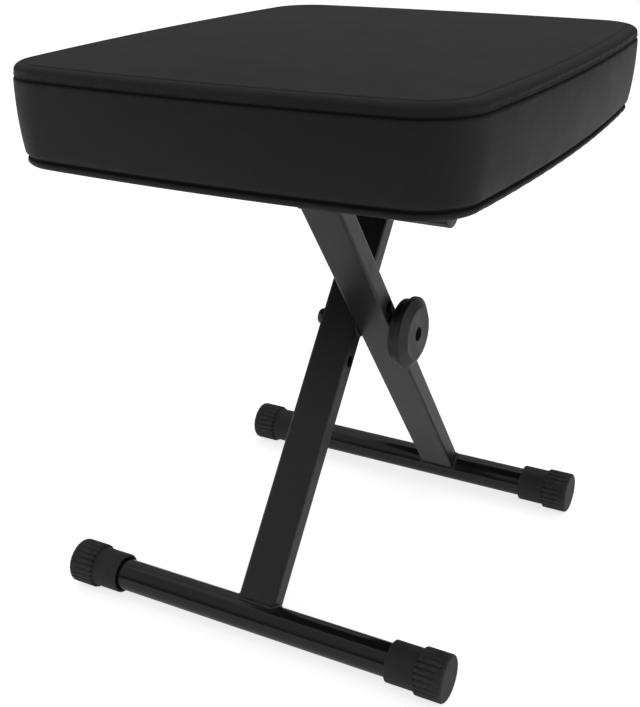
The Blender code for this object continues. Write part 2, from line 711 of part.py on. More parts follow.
def main():
    front_axis = new_axis("front_frame", (0, 0, 0))
    fold_axis = new_axis("leg_fold", (FRAME_X, FRAME_Y, PIVOT_Z))
    seat_axis = new_axis("seat_lift", (FRAME_X, FRAME_Y + SEAT_TUBE_SPREAD, SEAT_TUBE_Z))
    knob_axis = new_axis("knob_turn", (KNOB_X, FRAME_Y, PIVOT_Z))
    make_frame("front", -1, FRONT_LEG_X, front_axis)
    make_frame("rear", 1, REAR_LEG_X, fold_axis)
    spacer_x = FRONT_LEG_X + LEG_WIDTH / 2 + GAP
    spacer = make_washer("leg_spacer", spacer_x, LEG_SPACING - 2 * GAP)
    finish([make_bolt(), spacer], zinc_black, front_axis)
    knob_washer = make_washer("knob_washer", KNOB_WASHER_X, KNOB_WASHER_THICKNESS)
    finish([knob_washer], zinc_black, knob_axis)
    knob, nut = make_knob()
    finish([knob], black_plastic, knob_axis)
    finish([nut], zinc_black, knob_axis)
    finish([make_cover()], black_leatherette, seat_axis)
    finish([make_foam()], foam, seat_axis)
    finish([make_board()], plywood, seat_axis)
    finish([make_dust_cover()], black_cloth, seat_axis)
    finish([make_saddle(*place) for place in saddle_places()], black_plastic, seat_axis)
    finish(make_screws(), zinc_black, seat_axis)
    bpy.context.view_layer.update()


clear_scene()
parts = new_collection("piano_bench")
cutters = new_collection("cutters")
satin_black = new_material("satin_black", (0.012, 0.012, 0.013), 0.38, 0.0)
gloss_black = new_material("gloss_black", (0.006, 0.006, 0.007), 0.12, 0.0)
black_rubber = new_material("black_rubber", (0.022, 0.022, 0.023), 0.62, 0.0)
black_plastic = new_material("black_plastic", (0.020, 0.020, 0.021), 0.45, 0.0)
zinc_black = new_material("zinc_black", (0.05, 0.05, 0.055), 0.35, 0.9)
black_leatherette = new_material("black_leatherette", (0.016, 0.016, 0.017), 0.5, 0.0)
black_cloth = new_material("black_cloth", (0.02, 0.02, 0.02), 0.9, 0.0)
foam = new_material("foam", (0.75, 0.72, 0.62), 0.9, 0.0)
plywood = new_material("plywood", (0.48, 0.32, 0.18), 0.65, 0.0)
main()
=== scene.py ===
"""The looks of a folding X-frame piano bench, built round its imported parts.

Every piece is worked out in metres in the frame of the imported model: +Z up, +X along the
foot tubes towards the clamping knob, +Y from the front foot to the rear foot.
"""

import json
import math

import bmesh
import bpy
import numpy as np
from bpy.props import FloatProperty, FloatVectorProperty, IntProperty, PointerProperty
from mathutils import Matrix, Vector


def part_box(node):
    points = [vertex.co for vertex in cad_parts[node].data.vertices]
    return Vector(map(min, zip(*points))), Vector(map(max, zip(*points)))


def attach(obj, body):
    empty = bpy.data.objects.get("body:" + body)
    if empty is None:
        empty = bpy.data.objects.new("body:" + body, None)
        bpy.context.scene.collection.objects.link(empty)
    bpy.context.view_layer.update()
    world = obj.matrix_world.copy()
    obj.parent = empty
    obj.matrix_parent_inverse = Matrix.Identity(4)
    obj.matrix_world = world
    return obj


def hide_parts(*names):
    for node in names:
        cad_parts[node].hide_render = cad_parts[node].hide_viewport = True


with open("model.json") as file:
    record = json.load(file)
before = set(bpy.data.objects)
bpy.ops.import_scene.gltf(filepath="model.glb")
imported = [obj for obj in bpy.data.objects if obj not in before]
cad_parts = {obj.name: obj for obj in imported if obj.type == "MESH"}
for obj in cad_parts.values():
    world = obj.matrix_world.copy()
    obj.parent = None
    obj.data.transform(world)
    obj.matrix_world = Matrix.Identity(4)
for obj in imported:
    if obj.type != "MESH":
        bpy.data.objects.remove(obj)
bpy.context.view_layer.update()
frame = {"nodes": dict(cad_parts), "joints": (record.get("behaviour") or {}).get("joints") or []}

bl_info = {
    "name": "Piano bench",
    "version": (1, 0, 0),
    "blender": (4, 5, 0),
    "location": "3D View > Sidebar > Bench",
    "description": "Builds a folding X-frame piano bench with a padded seat",
    "category": "Object",
}

SIDES = (("left", -1), ("right", 1))
FRAMES = ("front", "rear")
CLEARANCE = 0.0003  # between pieces that fit each other
PLY_PITCH = 0.0024  # one pair of the board's plies
BULGE = (150, 600)  # an edge starts to be rubbed at the first bend, in 1/m, and is at the second
FLOOR_HALF = 9.0  # of the floor's side
LIT_PLACE = (0, 0, 0.3)  # what the lights face


# Sizes, finishes and stage settings


def length(name, default, text):
    return FloatProperty(name=name, description=text, default=default, unit="LENGTH", precision=4)


def colour(name, default, text):
    return FloatVectorProperty(
        name=name, description=text, default=default, subtype="COLOR", size=3, min=0, max=1
    )


def share(name, default, text):
    return FloatProperty(
        name=name, description=text, default=default, subtype="FACTOR", min=0, max=1
    )


def angle(name, degrees, text):
    return FloatProperty(
        name=name, description=text, default=math.radians(degrees), subtype="ANGLE"
    )


def amount(name, default, text, unit="NONE"):
    return FloatProperty(name=name, description=text, default=default, unit=unit, min=0)


class BenchCushion(bpy.types.PropertyGroup):
    """Sizes of the padded seat that its box doesn't give."""

    corner_radius: length("Corner radius", 0.042, "Radius of the seat's four corners")
    bow_x: length("Long sides' bow", 0.0126, "How far the long sides bow out")
    bow_y: length("Short sides' bow", 0.0086, "How far the short sides bow out")
    band_height: length("Band height", 0.0604, "From the lower seam to the upper seam")
    lip_height: length("Lip height", 0.0066, "From the underside to the lower seam")
    shoulder: length("Shoulder", 0.0099, "Width and rise of the slope inside the upper seam")
    turn_under: length("Turn under", 0.030, "How far the cover wraps in under the board")
    groove_depth: length("Seam depth", 0.0016, "Depth of the groove at each seam")
    pull_in: length("Pull in", 0.0053, "How far the cover is drawn in at the lower seam")
    pressure: amount("Stuffing", 4.0, "Pressure that fills the cover")
    top_give: length("Top give", 0.0045, "The most that the top may swell")
    band_give: length("Band give", 0.0022, "The most that the band may swell")


class BenchMetal(bpy.types.PropertyGroup):
    """Sizes of the steel and moulded pieces that their boxes don't give."""

    leg_corner: length("Leg corner", 0.0026, "Outer corner radius of the rectangular legs")
    wall: length("Tube wall", 0.0015, "Wall of the legs and the tubes")
    hole_radius: length("Hole radius", 0.0053, "Radius of the height holes in the legs")
    hole_pitch: length("Hole pitch", 0.0365, "From one height hole to the next")
    weld_radius: length("Weld radius", 0.0019, "Half the width of a weld bead")
    cap_collar: length("Collar length", 0.0255, "Length of an end cap's smooth collar")
    cap_rise: length("Grip rise", 0.00235, "Step from an end cap's collar to its ribbed grip")
    cap_ribs: IntProperty(name="Ribs", description="Ribs round an end cap", default=24, min=6)
    rib_depth: length("Rib depth", 0.0013, "Depth of the grooves between ribs")
    knob_hub: length("Hub length", 0.0078, "Length of the knob's hub")
    knob_rim: length("Rim length", 0.0042, "Length of the knob's widest part")
    knob_hub_radius: length("Hub radius", 0.0295, "Radius of the knob's hub")
    knob_face_radius: length("Face radius", 0.0235, "Radius of the knob's flat face")
    knob_recess_radius: length("Recess radius", 0.0062, "Radius of the recess in the face")
    knob_recess_depth: length("Recess depth", 0.0071, "Depth of the recess in the face")


class BenchFinish(bpy.types.PropertyGroup):
    """Colours and gloss of each finish."""

    cover: colour("Cover", (0.0185, 0.0185, 0.0188), "Leatherette of the seat")
    powder: colour("Powder coat", (0.0090, 0.0090, 0.0094), "Powder coat of the legs")
    enamel: colour("Enamel", (0.0090, 0.0090, 0.0095), "Enamel of the round tubes")
    rubber: colour("Rubber", (0.0260, 0.0260, 0.0265), "Rubber of the end caps")
    plastic: colour("Plastic", (0.0190, 0.0190, 0.0196), "Plastic of the knob and saddles")
    zinc: colour("Zinc", (0.055, 0.055, 0.060), "Black zinc plate of the fasteners")
    plywood: colour("Plywood", (0.46, 0.30, 0.17), "Face veneer of the board")
    cloth: colour("Dust cover", (0.014, 0.014, 0.015), "Non-woven cloth under the board")
    cover_roughness: share("Cover roughness", 0.50, "Roughness of the leatherette")
    powder_roughness: share("Powder roughness", 0.36, "Roughness of the powder coat")
    enamel_roughness: share("Enamel roughness", 0.14, "Roughness of the enamel")


class BenchStage(bpy.types.PropertyGroup):
    """Camera and lights."""

    azimuth: angle("Azimuth", 28.16, "Camera's turn round the bench")
    pitch: angle("Pitch", 23.23, "Camera's tilt down")
    roll: angle("Roll", -0.30, "Camera's roll")
    camera_place: FloatVectorProperty(
        name="Camera", description="Camera's place", default=(0.4283, -0.8638, 0.6160),
        subtype="TRANSLATION", unit="LENGTH",
    )
    lens: amount("Lens", 57.45, "Focal length in millimetres", "CAMERA")
    top_power: amount("Top light", 8.0, "Power of the overhead soft box", "POWER")
    side_power: amount("Side light", 6.0, "Power of the right soft box", "POWER")
    fill_power: amount("Fill light", 8.5, "Power of the left soft box", "POWER")
    floor: colour("Floor", (0.90, 0.90, 0.90), "Paper of the floor")
    floor_glow: share("Floor glow", 0.74, "How bright the floor looks where it is in shade")
    floor_throw: share("Floor throw", 0.22, "Light that the floor gives the bench from below")
    room: amount("Room", 0.07, "Brightness of the room at eye level")
    ceiling: amount("Ceiling", 0.40, "Brightness of the room overhead")
    backdrop: amount("Backdrop", 1.0, "Brightness seen past the floor")


class BenchSettings(bpy.types.PropertyGroup):
    """Everything that a user would change."""

    cushion: PointerProperty(type=BenchCushion)
    metal: PointerProperty(type=BenchMetal)
    finish: PointerProperty(type=BenchFinish)
    stage: PointerProperty(type=BenchStage)


def settings():
    return bpy.context.scene.piano_bench


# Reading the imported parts


def numbers_of(collection, field, width=0):
    """One field of a mesh's elements as an array, with rows of this width if it isn't 0."""
    numbers = np.empty(len(collection) * max(width, 1), np.float32)
    collection.foreach_get(field, numbers)
    return numbers.reshape(-1, width).astype(float) if width else numbers.astype(float)


def places(mesh):
    """The mesh's points, as an array of one row for each."""
    return numbers_of(mesh.vertices, "co", 3)


def middle_of(node):
    low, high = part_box(node)
    return (np.array(low) + np.array(high)) / 2


def size_of(node):
    low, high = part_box(node)
    return np.array(high) - np.array(low)


def pivot_place():
    """Where the legs cross, on the bolt's axis."""
    return np.array(next(j["pos_m"] for j in frame["joints"] if j["name"] == "leg_fold"))


# Meshes from grids


def grid_quads(rows, columns, rows_closed=False, columns_closed=True):
    """Quads of a grid of points numbered row by row, joined round where it is closed."""
    row, column = np.meshgrid(
        np.arange(rows if rows_closed else rows - 1),
        np.arange(columns if columns_closed else columns - 1),
        indexing="ij",
    )
    next_row, next_column = (row + 1) % rows, (column + 1) % columns
    corners = (
        row * columns + column,
        row * columns + next_column,
        next_row * columns + next_column,
        next_row * columns + column,
    )
    return np.stack(corners, -1).reshape(-1, 4)


def linked(name, data):
    """An object of this mesh, light or camera, linked into the scene."""
    thing = bpy.data.objects.new(name, data)
    bpy.context.scene.collection.objects.link(thing)
    return thing


def marked(mesh, key, numbers):
    """Gives the mesh an attribute with one number for each point."""
    layer = mesh.attributes.new(key, "FLOAT", "POINT")
    layer.data.foreach_set("value", np.asarray(numbers, np.float32).ravel())


def reshaped(mesh, points):
    mesh.vertices.foreach_set("co", points.astype(np.float32).ravel())
    mesh.update()


def new_piece(name, points, quads, sharp=math.radians(40), **values):
    """A mesh object of the points and quads, with doubles merged and faces outwards.

    Each of values becomes an attribute with one number for each point.
    """
    mesh = bpy.data.meshes.new(name)
    mesh.from_pydata(np.asarray(points).reshape(-1, 3).tolist(), [], quads.tolist())
    for key, numbers in values.items():
        marked(mesh, key, numbers)
    bm = bmesh.new()
    bm.from_mesh(mesh)
    bmesh.ops.remove_doubles(bm, verts=bm.verts, dist=1e-6)
    bmesh.ops.recalc_face_normals(bm, faces=bm.faces)
    bm.to_mesh(mesh)
    bm.free()
    mesh.shade_smooth()
    mesh.set_sharp_from_angle(angle=sharp)
    return linked(name, mesh)


def joined(parts):
    """Several (points, quads) as one."""
    starts = np.cumsum([0] + [len(points) for points, _ in parts[:-1]])
    points = np.concatenate([points for points, _ in parts])
    return points, np.concatenate([quads + start for start, (_, quads) in zip(starts, parts)])


def baked(piece):
    """Takes the piece's modifiers into its mesh."""
    bpy.context.view_layer.update()
    graph = bpy.context.evaluated_depsgraph_get()
    mesh = bpy.data.meshes.new_from_object(piece.evaluated_get(graph))
    piece.modifiers.clear()
    piece.data = mesh


def unit(vectors):
    return vectors / np.linalg.norm(vectors, axis=-1, keepdims=True)


def smoothstep(low, high, value):
    """0 below low, 1 above high, and 3t^2 - 2t^3 between."""
    t = np.clip((value - low) / (high - low), 0, 1)
    return t * t * (3 - 2 * t)


def rounded(corners, steps=5, cyclic=False):
    """A polyline through corners (u, v, radius), each corner turned into an arc of its radius.

    The arc touches both sides at radius / tan(half angle) from the corner. A point is kept
    just beyond each end of it, so that flats stay flat under smooth shading.
    """
    corners = [tuple(c) + (0.0,) * (3 - len(c)) for c in corners]
    count = len(corners)
    line = []
    for i, (u, v, radius) in enumerate(corners):
        here = np.array((u, v))
        if radius <= 0 or (not cyclic and i in (0, count - 1)):
            line.append(here)
            continue
        before = np.array(corners[i - 1][:2]) - here
        after = np.array(corners[(i + 1) % count][:2]) - here
        to_before, to_after = unit(before), unit(after)
        half = math.acos(np.clip(to_before @ to_after, -1, 1)) / 2
        reach = radius / math.tan(half)
        centre = here + unit(to_before + to_after) * radius / math.sin(half)
        start, end = here + to_before * reach - centre, here + to_after * reach - centre
        sweep = math.pi - 2 * half
        along = np.linspace(0, 1, steps + 1)[:, None]
        arc = (np.sin((1 - along) * sweep) * start + np.sin(along * sweep) * end) / math.sin(sweep)
        hold = radius * 0.3
        line.append(here + to_before * (reach + hold))
        line.extend(centre + arc)
        line.append(here + to_after * (reach + hold))
    return np.array(line)


def outline(half, radius, arc_steps, across_steps, along_steps):
    """Corner centres and outward directions round a rounded rectangle, one for each column.

    Its point drawn in by inset is centre + (radius - inset) * direction.
    """
    inner = np.asarray(half) - radius
    centres, angles = [], []
    for corner, (side_u, side_v) in enumerate(((1, 1), (-1, 1), (-1, -1), (1, -1))):
        here, turn = inner * (side_u, side_v), corner * math.pi / 2
        centres.append(np.repeat(here[None, :], arc_steps, 0))
        angles.append(turn + np.arange(arc_steps) * math.pi / 2 / arc_steps)
        steps = along_steps if corner % 2 else across_steps
        there = inner * ((side_u, -side_v) if corner % 2 else (-side_u, side_v))
        centres.append(here + (there - here) * np.arange(steps)[:, None] / steps)
        angles.append(np.full(steps, turn + math.pi / 2))
    angles = np.concatenate(angles)
    return np.concatenate(centres), np.stack((np.cos(angles), np.sin(angles)), -1)


def spread(line, longest):
    """The polyline with extra points, so that no step is longer than this."""
    points = [line[:1]]
    for start, end in zip(line[:-1], line[1:]):
        count = max(1, math.ceil(np.linalg.norm(end - start) / longest))
        share_along = np.linspace(0, 1, count + 1)[1:, None]
        points.append(start + (end - start) * share_along)
    return np.concatenate(points)


def turned(name, profile, centre, steps=96, side=1, shape=None, closed=False):
    """A profile of (x, radius) rows turned round an axis along X through centre.

    point = centre + (side * x, radius * cos(a), radius * sin(a)), where shape may change
    the radius with x and the angle a.
    """
    x, radius = profile[:, :1], profile[:, 1:2]
    angle = np.arange(steps)[None, :] * 2 * math.pi / steps
    radius = radius * np.ones_like(angle)
    if shape:
        radius = shape(x, angle, radius)
    points = np.stack(
        (side * x * np.ones_like(angle), radius * np.cos(angle), radius * np.sin(angle)), -1
    )
    quads = grid_quads(len(profile), steps, rows_closed=closed)
    return new_piece(name, points + np.asarray(centre), quads)


def softened(node, width, body, slot):
    """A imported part's own shape with its sharp edges rounded, in place of the part."""
    bm = bmesh.new()
    bm.from_mesh(frame["nodes"][node].data)
    bmesh.ops.remove_doubles(bm, verts=bm.verts, dist=1e-6)
    bmesh.ops.dissolve_limit(
        bm, angle_limit=math.radians(0.5), verts=bm.verts, edges=bm.edges
    )
    mesh = bpy.data.meshes.new(node + "_rounded")
    bm.to_mesh(mesh)
    bm.free()
    mesh.shade_smooth()
    piece = linked(mesh.name, mesh)
    bevel = piece.modifiers.new("rounding", "BEVEL")
    bevel.width = width
    bevel.segments = 2
    bevel.limit_method = "ANGLE"
    bevel.angle_limit = math.radians(35)
    bevel.harden_normals = True
    baked(piece)
    placed(piece, body, slot, node)


# Shader arithmetic


class Term:
    """A shader socket that can be added, multiplied and so on, each with its own Math node."""

    def __init__(self, shader, socket):
        self.shader = shader
        self.socket = socket

    def math(self, operation, *values):
        return self.shader.add("ShaderNodeMath", {"operation": operation}, dict(enumerate(values)))

    def __add__(self, other):
        return self.math("ADD", self, other)

    def __sub__(self, other):
        return self.math("SUBTRACT", self, other)

    def __rsub__(self, other):
        return self.math("SUBTRACT", other, self)

    def __mul__(self, other):
        return self.math("MULTIPLY", self, other)

    __radd__ = __add__
    __rmul__ = __mul__

    def clamped(self):
        return self.math("MINIMUM", self.math("MAXIMUM", self, 0.0), 1.0)

    def wave(self):
        return self.math("SINE", self)

    def between(self, low, high):
        """0 where this is at low and 1 where it is at high, straight between and held beyond."""
        return self.shader.add(
            "ShaderNodeMapRange", None, {"Value": self, "From Min": low, "From Max": high}
        )


class Shader:
    """A new material of one plain colour, whose nodes are added by name."""

    def __init__(self, name, plain, **uniform):
        self.plain = tuple(plain)
        self.material = bpy.data.materials.new(name + "_finish")
        self.material.use_nodes = True
        self.tree = self.material.node_tree
        self.principled = self.tree.nodes["Principled BSDF"]
        for socket, value in uniform.items():
            self.principled.inputs[socket.replace("_", " ")].default_value = value
        self.place = self.add("ShaderNodeTexCoord", output="Object")

    def add(self, kind, options=None, sockets=None, output=0):
        """A node of this kind, with its options set and then its sockets, and one output."""
        node = self.tree.nodes.new(kind)
        for option, value in (options or {}).items():
            setattr(node, option, value)
        for key, value in (sockets or {}).items():
            if isinstance(value, Term):
                self.tree.links.new(value.socket, node.inputs[key])
            else:
                node.inputs[key].default_value = value
        return Term(self, node.outputs[output])

    def stretched(self, scale):
        """The place on the piece, scaled differently along each axis."""
        return self.add("ShaderNodeMapping", None, {"Vector": self.place, "Scale": scale})

    def noise(self, scale, detail=3.0, roughness=0.5, vector=None, distortion=0.0):
        return self.add(
            "ShaderNodeTexNoise", None,
            {
                "Vector": vector or self.place, "Scale": scale, "Detail": detail,
                "Roughness": roughness, "Distortion": distortion,
            },
        )

    def cells(self, scale, feature="F1", randomness=1.0):
        return self.add(
            "ShaderNodeTexVoronoi", {"feature": feature},
            {"Vector": self.place, "Scale": scale, "Randomness": randomness},
        )

    def attribute(self, name):
        return self.add("ShaderNodeAttribute", {"attribute_name": name}, output="Fac")

    def mixed(self, factor, first, second):
        """first where the factor is 0 and second where it is 1, as colours."""
        return self.add(
            "ShaderNodeMix", {"data_type": "RGBA"},
            {"Factor": factor, 6: rgba(first), 7: rgba(second)}, output=2,
        )

    def shaded(self, factor, gain, tint=None):
        """The tint, or the plain colour, blended by the factor to the plain colour times gain."""
        return self.mixed(factor, tint or self.plain, scaled(self.plain, gain))

    def ends(self, **links):
        """Links what varies over the surface into the Principled shader."""
        for socket, term in links.items():
            self.tree.links.new(term.socket, self.principled.inputs[socket.replace("_", " ")])
        return self.material

    def surface(self, tint, gloss, height, distance, strength, **others):
        """The colour, roughness from 0 to 1 and bump of a finish, and any other links."""
        normal = self.add(
            "ShaderNodeBump", None,
            {"Height": height, "Distance": distance, "Strength": strength}, output="Normal",
        )
        return self.ends(Base_Color=tint, Roughness=gloss.clamped(), Normal=normal, **others)


def rgba(value):
    return value if isinstance(value, Term) else (*value, 1.0)


def scaled(value, factor):
    return tuple(min(1.0, part * factor) for part in value)


# Materials


def leatherette():
    """Black leatherette: a fine pebble grain, faint ribbing along the band, and painted shade in the seam
    grooves.
    """
    finish = settings().finish
    shader = Shader("black_leatherette", finish.cover, Specular_IOR_Level=0.18, IOR=1.47)
    pebble = shader.cells(640.0, "SMOOTH_F1", 0.9)
    ribs = shader.noise(1.0, 2.0, 0.5, shader.stretched((26.0, 26.0, 820.0)))
    creases = shader.noise(34.0, 4.0, 0.55, distortion=0.6)
    broad = shader.noise(7.5, 2.0)
    seam = shader.attribute("seam")
    wear = creases.between(0.54, 0.78) * 0.35 + broad.between(0.35, 0.75) * 0.3
    tint = shader.shaded(wear.clamped(), 1.55)
    # painted shade: the seam mask darkens the seam grooves towards a quarter of the plain colour
    tint = shader.shaded(seam * 0.75, 0.25, tint)
    gloss = finish.cover_roughness + (broad - 0.5) * 0.12 + (creases - 0.5) * 0.14 + seam * 0.2
    height = pebble * 0.55 + ribs * 0.30 + creases * 0.25
    return shader.surface(tint, gloss, height, 0.0005, 0.42)


def powder_coat():
    """Satin black powder coat: orange peel, rubbed edges and a few long scuffs."""
    finish = settings().finish
    shader = Shader("satin_black_steel", finish.powder, Specular_IOR_Level=0.55)
    peel = shader.noise(520.0, 2.0, 0.45)
    cloud = shader.noise(11.0, 3.0)
    scuffs = shader.noise(1.0, 4.0, 0.6, shader.stretched((420.0, 22.0, 22.0)))
    rubbed = shader.attribute("edge") * shader.noise(160.0, 3.0).between(0.42, 0.66)
    marks = scuffs.between(0.66, 0.74) * cloud.between(0.5, 0.62)
    tint = shader.shaded((cloud - 0.3).clamped(), 1.5)
    tint = shader.shaded((rubbed * 0.5 + marks * 0.35).clamped(), 4.0, tint)
    gloss = finish.powder_roughness + (cloud - 0.5) * 0.16 - rubbed * 0.10 + marks * 0.12
    return shader.surface(tint, gloss, peel, 0.00022, 0.5)


def enamel():
    """Gloss black enamel on the round tubes, with fine rubbing along them."""
    finish = settings().finish
    shader = Shader("gloss_black_steel", finish.enamel, Specular_IOR_Level=0.5)
    flow = shader.noise(95.0, 2.0, 0.4, shader.stretched((0.35, 1.0, 1.0)))
    cloud = shader.noise(16.0, 3.0)
    rubbing = shader.noise(1.0, 3.0, 0.6, shader.stretched((9.0, 700.0, 700.0)))
    worn = rubbing.between(0.60, 0.74) * cloud.between(0.48, 0.66)
    tint = shader.shaded(worn * 0.5, 3.0)
    gloss = finish.enamel_roughness + worn * 0.16 + (cloud - 0.5) * 0.08
    return shader.surface(tint, gloss, flow, 0.0004, 0.25)


def moulded_rubber():
    """Matt rubber: a blasted mould texture and chalky marks on the ribs."""
    shader = Shader("black_rubber", settings().finish.rubber, Specular_IOR_Level=0.32)
    grain = shader.noise(900.0, 2.0, 0.6)
    cloud = shader.noise(42.0, 3.0)
    chalk = shader.attribute("edge") * shader.noise(230.0, 3.0).between(0.38, 0.68)
    bloom = cloud.between(0.42, 0.72) * 0.5
    tint = shader.shaded(bloom, 1.7)
    tint = shader.shaded(chalk * 0.45, 3.2, tint)
    gloss = 0.56 + (cloud - 0.5) * 0.16 + chalk * 0.1
    return shader.surface(tint, gloss, grain, 0.00018, 0.55)


def moulded_plastic():
    """Black plastic with a fine spark texture from its mould and faint handling shine."""
    shader = Shader("black_plastic", settings().finish.plastic, Specular_IOR_Level=0.45)
    spark = shader.cells(1100.0, "SMOOTH_F1")
    cloud = shader.noise(60.0, 3.0)
    handled = cloud.between(0.45, 0.68)
    tint = shader.shaded(handled * 0.6, 1.5)
    gloss = 0.46 - handled * 0.10 + (shader.noise(300.0) - 0.5) * 0.12
    return shader.surface(tint, gloss, spark, 0.00015, 0.4)


def zinc_plate():
    """Black zinc plate: dark metal with paler, rougher patches."""
    shader = Shader("black_zinc_steel", settings().finish.zinc)
    cloud = shader.noise(180.0, 4.0, 0.6)
    spots = shader.noise(620.0, 2.0)
    patch = cloud.between(0.44, 0.66)
    tint = shader.shaded(patch * 0.7, 2.2)
    gloss = 0.30 + patch * 0.16 + (spots - 0.5) * 0.1
    return shader.surface(tint, gloss, spots, 0.0001, 0.35, Metallic=0.95 - patch * 0.2)


def plywood():
    """Birch plywood: rings stretched along the board, with darker glue lines at its edge."""
    shader = Shader("plywood", settings().finish.plywood, Specular_IOR_Level=0.3)
    warp = shader.noise(5.0, 3.0, 0.6, shader.stretched((2.0, 0.35, 2.0)))
    fibre = shader.noise(1.0, 5.0, 0.6, shader.stretched((420.0, 9.0, 60.0)))
    height = shader.add("ShaderNodeSeparateXYZ", None, {"Vector": shader.place}, output="Z")
    plies = (height * (2 * math.pi / PLY_PITCH)).wave()
    rings = (warp * 60.0).wave()
    grain = (rings * 0.25 + fibre * 0.8).clamped()
    tint = shader.mixed(grain, scaled(shader.plain, 0.72), shader.plain)
    tint = shader.shaded(plies.between(0.8, 1.0) * 0.35, 0.4, tint)
    return shader.surface(tint, 0.62 + fibre * 0.14, fibre, 0.0003, 0.4)


def bonded_cloth():
    """Non-woven black cloth: felted fibres under a grid of bonding dots."""
    shader = Shader("black_cloth", settings().finish.cloth, Specular_IOR_Level=0.2)
    fibres = shader.noise(700.0, 5.0, 0.7, distortion=1.5)
    dots = shader.cells(420.0, "F1", 0.15).between(0.18, 0.32)
    cloud = shader.noise(24.0)
    tint = shader.shaded(fibres.between(0.35, 0.7), 2.4)
    tint = shader.shaded((1 - dots) * 0.5, 0.5, tint)
    gloss = 0.80 + (cloud - 0.5) * 0.2
    return shader.surface(tint, gloss, fibres * 0.6 + dots * 0.5, 0.0003, 0.6)


# The padded seat


class SeatForm:
    """The seat's outline and heights."""

    def __init__(self, arc_steps, across_steps, along_steps):
        low, high = (np.array(corner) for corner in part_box("seat_cover"))
        self.middle, self.half = (high + low)[:2] / 2, (high - low)[:2] / 2
        self.base, self.top = low[2], high[2]
        self.radius = settings().cushion.corner_radius
        self.arc_steps, self.across, self.along = arc_steps, across_steps, along_steps
        self.centres, self.outward = outline(
            self.half, self.radius, 2 * arc_steps, across_steps, along_steps
        )
        self.columns = len(self.centres)

    def ring(self, inset, height):
        """The outline drawn in by inset: centre + (radius - inset) * direction."""
        flat = self.middle + self.centres + (self.radius - inset) * self.outward
        return np.column_stack((flat, np.full(self.columns, height)))

    def bowed(self, points):
        """Points with the corners drawn in, which leaves the sides bowed.

        x becomes x (1 - bow / half_x (y / half_y)^2), and y the same the other way round.
        """
        sizes = settings().cushion
        flat = points[:, :2] - self.middle
        bow = np.array((sizes.bow_x, sizes.bow_y)) / self.half
        drawn = flat * (1 - bow * ((flat / self.half) ** 2)[:, ::-1])
        return np.column_stack((drawn + self.middle, points[:, 2]))

    def patch(self, ring, crown):
        """Fills a ring with a grid by Coons blending of its four sides, raised by crown.

        The sides run from the middle of one corner to the middle of the next.
        """
        across, along = self.across + 2 * self.arc_steps, self.along + 2 * self.arc_steps
        loop = np.roll(ring, -self.arc_steps, axis=0)
        back = loop[: across + 1]
        left = loop[across : across + along + 1]
        front = loop[across + along : 2 * across + along + 1][::-1]
        right = np.concatenate((loop[2 * across + along :], loop[:1]))[::-1]
        u = np.linspace(0, 1, across + 1)[:, None, None]
        v = np.linspace(0, 1, along + 1)[None, :, None]
        grid = (
            (1 - v) * back[:, None] + v * front[:, None]
            + (1 - u) * right[None, :] + u * left[None, :]
            - (1 - u) * (1 - v) * back[0] - u * (1 - v) * back[-1]
            - (1 - u) * v * front[0] - u * v * front[-1]
        )
        dome = (1 - (2 * u - 1) ** 2) * (1 - (2 * v - 1) ** 2)
        grid[..., 2:] += crown * dome
        return grid.reshape(-1, 3), grid_quads(across + 1, along + 1, columns_closed=False)


def seat_rows(form):
    """The cover's section as rows of (inset, height, how firmly it is held).

    It runs from under the board out to the lip, up the band and in over the top. The rows at
    the two seams are held, because the stitching holds them.
    """
    sizes = settings().cushion
    low, groove, pull = form.base, sizes.groove_depth, sizes.pull_in
    lower = low + sizes.lip_height
    upper = lower + sizes.band_height
    shoulder = sizes.shoulder
    rise = form.top - 0.0035 - upper
    under = [(sizes.turn_under, low + 0.0020, 1), (sizes.turn_under - 0.0004, low, 1)]
    under += [(inset, low, 1) for inset in np.linspace(sizes.turn_under - 0.004, pull + 0.007, 4)]
    lip = [
        (pull + 0.0040, low + 0.0001, 1),
        (pull + 0.0022, low + 0.0007, 1),
        (pull + 0.0009, low + 0.0018, 1),
        (pull + 0.0001, low + 0.0033, 1),
        (pull + 0.0001, low + 0.0050, 1),
        (pull + 0.0010, lower - 0.0008, 1),
        (pull + groove + 0.0008, lower - 0.0002, 1),
        (pull + groove + 0.0008, lower + 0.0008, 1),
        (pull + 0.0004, lower + 0.0014, 1),
        (pull - 0.0007, lower + 0.0028, 0.9),
    ]
    climb = np.linspace(0.07, 0.955, 13)
    band = [
        (pull * (1 - part) ** 2.4 * 0.86 - 0.0004 * math.sin(math.pi * part),
         lower + sizes.band_height * part,
         0.25 * abs(2 * part - 1) ** 3)
        for part in climb
    ]
    seam = [
        (0.0002, upper - 0.0016, 0.9),
        (0.0010, upper - 0.0009, 1),
        (groove + 0.0004, upper - 0.0005, 1),
        (groove + 0.0004, upper + 0.0003, 1),
        (0.0008, upper + 0.0006, 1),
        (0.0004, upper + 0.0014, 1),
        (0.0010, upper + 0.0024, 0.9),
    ]
    slope = [
        (shoulder * (1 - math.cos(turn)), upper + 0.0024 + (rise - 0.0024) * math.sin(turn), 0.6)
        for turn in np.linspace(0.45, 1.30, 4)
    ]
    top = upper + rise
    crease = [
        (shoulder - 0.0010, top - 0.0002, 1),
        (shoulder - 0.0002, top - 0.0011, 1),
        (shoulder + 0.0006, top - 0.0011, 1),
        (shoulder + 0.0014, top - 0.0001, 1),
        (shoulder + 0.0030, top + 0.0003, 0.8),
    ]
    inner = [
        (inset, top + 0.0035 * smoothstep(0, sizes.corner_radius, inset - shoulder) * 0.5, 0.35)
        for inset in np.linspace(shoulder + 0.006, sizes.corner_radius * 0.6, 4)
    ]
    return under + lip + band + seam + slope + crease + inner


